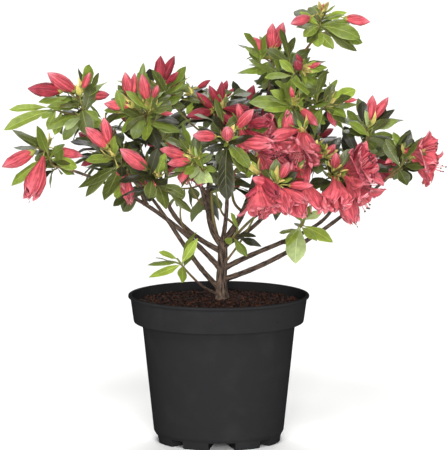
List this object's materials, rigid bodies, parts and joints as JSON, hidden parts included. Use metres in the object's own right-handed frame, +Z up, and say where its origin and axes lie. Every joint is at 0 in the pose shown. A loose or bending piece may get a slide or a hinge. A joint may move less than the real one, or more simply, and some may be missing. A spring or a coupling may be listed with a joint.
{
  "type": "potted azalea shrub",
  "caption": "Small evergreen azalea shrub with pink buds and flowers on spreading boughs, in a round black nursery pot filled with peat.",
  "frame": {"origin": "middle of the pot's flat underside", "axes": "+Z up along the pot's axis, front of the plant towards -Y, +X to the right seen from the front"},
  "size_m": [0.458, 0.307, 0.4612],
  "materials": {
    "pot_plastic": "satin",
    "peat": "matte",
    "bark": "matte",
    "foliage": "satin"
  },
  "bodies": {
    "root": {"pot": "pot_plastic", "soil": "peat", "trunk": "bark", "bough_left": "bark", "bough_far_left": "bark", "bough_upper_left": "bark", "bough_high_left": "bark", "bough_mid_left": "bark", "bough_front_left": "bark", "bough_centre_left": "bark", "bough_low_front": "bark", "bough_centre_front": "bark", "bough_high_right": "bark", "bough_top": "bark", "bough_front_high": "bark", "bough_far_right": "bark", "bough_right": "bark", "bough_upper_right": "bark", "bough_low_centre": "bark", "bough_centre_right": "bark", "bough_low_left": "bark", "bough_low_right": "bark", "bough_inner": "bark", "bough_rear_left": "bark", "bough_rear_mid_left": "bark", "bough_rear_centre": "bark", "bough_rear_right": "bark", "bough_rear_far_right": "bark", "bough_rear_high": "bark", "foliage_left": "foliage", "foliage_far_left": "foliage", "foliage_upper_left": "foliage", "foliage_high_left": "foliage", "foliage_mid_left": "foliage", "foliage_front_left": "foliage", "foliage_centre_left": "foliage", "foliage_low_front": "foliage", "foliage_centre_front": "foliage", "foliage_high_right": "foliage", "foliage_top": "foliage", "foliage_front_high": "foliage", "foliage_far_right": "foliage", "foliage_right": "foliage", "foliage_upper_right": "foliage", "foliage_low_centre": "foliage", "foliage_centre_right": "foliage", "foliage_low_left": "foliage", "foliage_low_right": "foliage", "foliage_inner": "foliage", "foliage_rear_left": "foliage", "foliage_rear_mid_left": "foliage", "foliage_rear_centre": "foliage", "foliage_rear_right": "foliage", "foliage_rear_far_right": "foliage", "foliage_rear_high": "foliage"}
  },
  "joints": []
}
